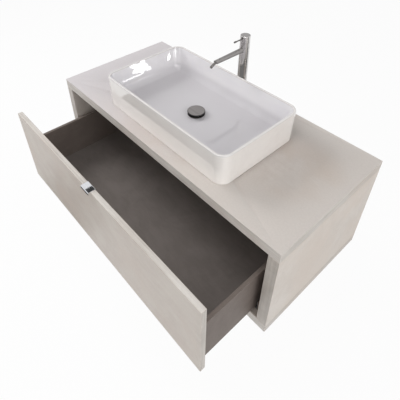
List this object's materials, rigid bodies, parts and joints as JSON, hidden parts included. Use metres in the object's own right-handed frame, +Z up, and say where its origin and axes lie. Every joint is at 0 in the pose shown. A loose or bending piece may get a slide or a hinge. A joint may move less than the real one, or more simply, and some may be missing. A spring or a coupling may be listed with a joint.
{
  "type": "wall-hung vanity unit",
  "caption": "Wall-hung vanity unit: thick-board carcass with an inset drawer, edge pull, vessel basin with press waste, and a tall tap with a pin lever.",
  "frame": {"origin": "centre of the four wall fixing holes, on the wall plane; the top surface is 84 mm above it", "axes": "+X to the right seen from the front, +Y into the wall, +Z up"},
  "size_m": [1.1, 0.738, 0.644],
  "materials": {
    "board": "light warm grey plaster-look laminate, matt",
    "front_board": "light warm grey plaster-look laminate, matt",
    "drawer_board": "dark taupe melamine, matt",
    "beech": "plain beech",
    "zinc_steel": "zinc-plated sheet steel",
    "white_plastic": "moulded, satin",
    "grey_plastic": "moulded, satin",
    "chrome": "polished",
    "glaze": "gloss white glaze",
    "sealant": "silicone",
    "rubber": "plain",
    "brass": "turned",
    "brushed_steel": "fine brushed, satin",
    "satin_cap": "satin"
  },
  "bodies": {
    "cabinet": {"top_panel": "board", "bottom_panel": "board", "side_panel_left": "board", "side_panel_right": "board", "rear_rail_upper": "board", "rear_rail_lower": "board", "carcass_dowels": "beech", "hanger_left": "white_plastic", "hanger_right": "white_plastic", "hanger_hooks": "zinc_steel", "hanger_screws": "zinc_steel", "wall_plates": "zinc_steel", "runner_packer_left": "beech", "runner_packer_right": "beech", "cabinet_rail_left": "zinc_steel", "cabinet_rail_right": "zinc_steel", "rail_screw_set": "zinc_steel", "basin": "glaze", "basin_sealant": "sealant", "waste_body": "chrome", "waste_gasket": "rubber", "waste_core": "brass", "waste_washer": "rubber", "waste_nut": "white_plastic", "tap_body": "brushed_steel", "tap_spout": "brushed_steel", "outlet_nozzle": "brushed_steel", "tap_cartridge": "white_plastic", "cartridge_nut": "brass", "tap_base_seal": "rubber", "tap_shank": "brass", "tap_washer": "rubber", "tap_nut": "brass"},
    "drawer": {"drawer_front": "front_board", "drawer_side_left": "drawer_board", "drawer_side_right": "drawer_board", "drawer_back": "drawer_board", "drawer_floor": "drawer_board", "drawer_dowels": "beech", "drawer_pull": "chrome", "drawer_screws": "zinc_steel", "drawer_rail_left": "zinc_steel", "drawer_rail_right": "zinc_steel", "front_clip_left": "grey_plastic", "front_clip_right": "grey_plastic"},
    "middle_slide_left": {"middle_slide_left": "zinc_steel"},
    "middle_slide_right": {"middle_slide_right": "zinc_steel"},
    "lower_rollers": {"lower_rollers": "white_plastic"},
    "upper_rollers": {"upper_rollers": "white_plastic"},
    "release_lever_left": {"release_lever_left": "grey_plastic"},
    "release_lever_right": {"release_lever_right": "grey_plastic"},
    "tap_cap": {"tap_cap": "brushed_steel", "lever_carrier": "brass", "lever_pin": "brushed_steel"},
    "tap_lever": {"tap_lever": "brushed_steel"},
    "cartridge_stem": {"cartridge_stem": "brushed_steel"},
    "waste_cap": {"waste_cap": "satin_cap", "waste_cap_seal": "rubber"}
  },
  "joints": [
    {"name": "drawer_slide", "type": "slide", "parent": "cabinet", "child": "drawer", "axis": [0, -1, 0], "range_m": [-0.23, 0.17]},
    {"name": "slide_left", "type": "slide", "parent": "cabinet", "child": "middle_slide_left", "axis": [0, -1, 0], "range_m": [-0.115, 0.085]},
    {"name": "slide_right", "type": "slide", "parent": "cabinet", "child": "middle_slide_right", "axis": [0, -1, 0], "range_m": [-0.115, 0.085]},
    {"name": "lower_cages", "type": "slide", "parent": "cabinet", "child": "lower_rollers", "axis": [0, -1, 0], "range_m": [-0.0575, 0.0425]},
    {"name": "upper_cages", "type": "slide", "parent": "cabinet", "child": "upper_rollers", "axis": [0, -1, 0], "range_m": [-0.1725, 0.1275]},
    {"name": "release_left", "type": "hinge", "parent": "drawer", "child": "release_lever_left", "pos_m": [-0.439, -0.698, -0.263], "axis": [0, 0, -1], "range_deg": [0, 12], "stiffness_Nm_per_rad": 0.3, "springref_deg": -5.73},
    {"name": "release_right", "type": "hinge", "parent": "drawer", "child": "release_lever_right", "pos_m": [0.439, -0.698, -0.263], "axis": [0, 0, 1], "range_deg": [0, 12], "stiffness_Nm_per_rad": 0.3, "springref_deg": -5.73},
    {"name": "tap_turn", "type": "hinge", "parent": "cabinet", "child": "tap_cap", "pos_m": [0, -0.05, 0.29], "axis": [0, 0, 1], "range_deg": [-50, 50]},
    {"name": "tap_lift", "type": "hinge", "parent": "tap_cap", "child": "tap_lever", "pos_m": [0, -0.059, 0.318], "axis": [-1, 0, 0], "range_deg": [0, 22]},
    {"name": "stem_press", "type": "slide", "parent": "tap_cap", "child": "cartridge_stem", "axis": [0, 0, -1], "range_m": [0, 0.0035]},
    {"name": "waste_press", "type": "slide", "parent": "cabinet", "child": "waste_cap", "axis": [0, 0, -1], "range_m": [0, 0.0063]}
  ],
  "couplings": [
    {"joint": "slide_left", "follows": "drawer_slide", "ratio": 0.5},
    {"joint": "slide_right", "follows": "drawer_slide", "ratio": 0.5},
    {"joint": "lower_cages", "follows": "drawer_slide", "ratio": 0.25},
    {"joint": "upper_cages", "follows": "drawer_slide", "ratio": 0.75},
    {"joint": "stem_press", "follows": "tap_lift", "m_per_rad": 0.009}
  ]
}
